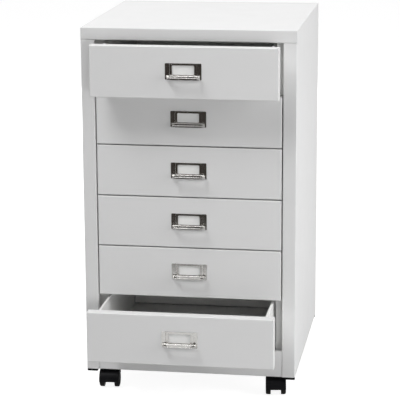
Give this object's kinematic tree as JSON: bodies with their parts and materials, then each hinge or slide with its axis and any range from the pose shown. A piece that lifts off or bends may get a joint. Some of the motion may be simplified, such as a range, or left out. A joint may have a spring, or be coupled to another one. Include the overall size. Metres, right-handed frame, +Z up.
{
  "type": "drawer cabinet",
  "caption": "Slim white sheet-steel drawer cabinet on twin-wheel swivel castors, with card-holder pulls and its top and bottom drawers partly open.",
  "frame": {"origin": "on the floor, under the middle of the whole model's box as it stands with two drawers partly open", "axes": "+Z up, -Y towards the front where the drawers pull out, +X to the right seen from the front"},
  "size_m": [0.45, 0.6216, 0.784],
  "materials": {
    "white_enamel": "satin powder coat",
    "zinc": "bright zinc plate",
    "chrome": "polished",
    "paper": "blank paper card",
    "black_plastic": "moulded, fine grain",
    "wheel_plastic": "moulded, worn tread"
  },
  "bodies": {
    "casing": {"side_panel_left": "white_enamel", "side_panel_right": "white_enamel", "top_panel": "white_enamel", "base_panel": "white_enamel", "back_panel": "white_enamel", "liner_left": "white_enamel", "liner_right": "white_enamel", "runners_left": "zinc", "runners_right": "zinc", "corner_pads": "black_plastic", "back_screws": "zinc", "castor_stems": "zinc", "castor_nuts": "zinc"},
    "drawer_1": {"drawer_1_box": "white_enamel", "drawer_1_front": "white_enamel", "drawer_1_pull": "chrome", "drawer_1_card": "paper", "drawer_1_screws": "zinc"},
    "drawer_2": {"drawer_2_box": "white_enamel", "drawer_2_front": "white_enamel", "drawer_2_pull": "chrome", "drawer_2_card": "paper", "drawer_2_screws": "zinc"},
    "drawer_3": {"drawer_3_box": "white_enamel", "drawer_3_front": "white_enamel", "drawer_3_pull": "chrome", "drawer_3_card": "paper", "drawer_3_screws": "zinc"},
    "drawer_4": {"drawer_4_box": "white_enamel", "drawer_4_front": "white_enamel", "drawer_4_pull": "chrome", "drawer_4_card": "paper", "drawer_4_screws": "zinc"},
    "drawer_5": {"drawer_5_box": "white_enamel", "drawer_5_front": "white_enamel", "drawer_5_pull": "chrome", "drawer_5_card": "paper", "drawer_5_screws": "zinc"},
    "drawer_6": {"drawer_6_box": "white_enamel", "drawer_6_front": "white_enamel", "drawer_6_pull": "chrome", "drawer_6_card": "paper", "drawer_6_screws": "zinc"},
    "swivel_front_left": {"castor_front_left_hood": "black_plastic", "castor_front_left_axle": "zinc"},
    "wheel_front_left_left": {"castor_front_left_wheel_left": "wheel_plastic"},
    "wheel_front_left_right": {"castor_front_left_wheel_right": "wheel_plastic"},
    "swivel_front_right": {"castor_front_right_hood": "black_plastic", "castor_front_right_axle": "zinc"},
    "wheel_front_right_left": {"castor_front_right_wheel_left": "wheel_plastic"},
    "wheel_front_right_right": {"castor_front_right_wheel_right": "wheel_plastic"},
    "swivel_rear_left": {"castor_rear_left_hood": "black_plastic", "castor_rear_left_axle": "zinc"},
    "wheel_rear_left_left": {"castor_rear_left_wheel_left": "wheel_plastic"},
    "wheel_rear_left_right": {"castor_rear_left_wheel_right": "wheel_plastic"},
    "swivel_rear_right": {"castor_rear_right_hood": "black_plastic", "castor_rear_right_axle": "zinc"},
    "wheel_rear_right_left": {"castor_rear_right_wheel_left": "wheel_plastic"},
    "wheel_rear_right_right": {"castor_rear_right_wheel_right": "wheel_plastic"}
  },
  "joints": [
    {"name": "drawer_1_slide", "type": "slide", "parent": "casing", "child": "drawer_1", "axis": [0, -1, 0], "range_m": [-0.06, 0.22]},
    {"name": "drawer_2_slide", "type": "slide", "parent": "casing", "child": "drawer_2", "axis": [0, -1, 0], "range_m": [0, 0.28]},
    {"name": "drawer_3_slide", "type": "slide", "parent": "casing", "child": "drawer_3", "axis": [0, -1, 0], "range_m": [0, 0.28]},
    {"name": "drawer_4_slide", "type": "slide", "parent": "casing", "child": "drawer_4", "axis": [0, -1, 0], "range_m": [0, 0.28]},
    {"name": "drawer_5_slide", "type": "slide", "parent": "casing", "child": "drawer_5", "axis": [0, -1, 0], "range_m": [0, 0.28]},
    {"name": "drawer_6_slide", "type": "slide", "parent": "casing", "child": "drawer_6", "axis": [0, -1, 0], "range_m": [-0.13, 0.15]},
    {"name": "front_left_swivel", "type": "hinge", "parent": "casing", "child": "swivel_front_left", "pos_m": [-0.18, -0.12475, 0.052], "axis": [0, 0, 1], "continuous": true},
    {"name": "front_left_wheel_left_spin", "type": "hinge", "parent": "swivel_front_left", "child": "wheel_front_left_left", "pos_m": [-0.17874, -0.14271, 0.018], "axis": [0.9976, 0.0698, 0], "continuous": true},
    {"name": "front_left_wheel_right_spin", "type": "hinge", "parent": "swivel_front_left", "child": "wheel_front_left_right", "pos_m": [-0.17874, -0.14271, 0.018], "axis": [0.9976, 0.0698, 0], "continuous": true},
    {"name": "front_right_swivel", "type": "hinge", "parent": "casing", "child": "swivel_front_right", "pos_m": [0.18, -0.12475, 0.052], "axis": [0, 0, 1], "continuous": true},
    {"name": "front_right_wheel_left_spin", "type": "hinge", "parent": "swivel_front_right", "child": "wheel_front_right_left", "pos_m": [0.18251, -0.14258, 0.018], "axis": [0.9903, 0.1392, 0], "continuous": true},
    {"name": "front_right_wheel_right_spin", "type": "hinge", "parent": "swivel_front_right", "child": "wheel_front_right_right", "pos_m": [0.18251, -0.14258, 0.018], "axis": [0.9903, 0.1392, 0], "continuous": true},
    {"name": "rear_left_swivel", "type": "hinge", "parent": "casing", "child": "swivel_rear_left", "pos_m": [-0.18, 0.27325, 0.052], "axis": [0, 0, 1], "continuous": true},
    {"name": "rear_left_wheel_left_spin", "type": "hinge", "parent": "swivel_rear_left", "child": "wheel_rear_left_left", "pos_m": [-0.18435, 0.25578, 0.018], "axis": [0.9703, -0.2419, 0], "continuous": true},
    {"name": "rear_left_wheel_right_spin", "type": "hinge", "parent": "swivel_rear_left", "child": "wheel_rear_left_right", "pos_m": [-0.18435, 0.25578, 0.018], "axis": [0.9703, -0.2419, 0], "continuous": true},
    {"name": "rear_right_swivel", "type": "hinge", "parent": "casing", "child": "swivel_rear_right", "pos_m": [0.18, 0.27325, 0.052], "axis": [0, 0, 1], "continuous": true},
    {"name": "rear_right_wheel_left_spin", "type": "hinge", "parent": "swivel_rear_right", "child": "wheel_rear_right_left", "pos_m": [0.18343, 0.25558, 0.018], "axis": [0.9816, 0.1908, 0], "continuous": true},
    {"name": "rear_right_wheel_right_spin", "type": "hinge", "parent": "swivel_rear_right", "child": "wheel_rear_right_right", "pos_m": [0.18343, 0.25558, 0.018], "axis": [0.9816, 0.1908, 0], "continuous": true}
  ]
}
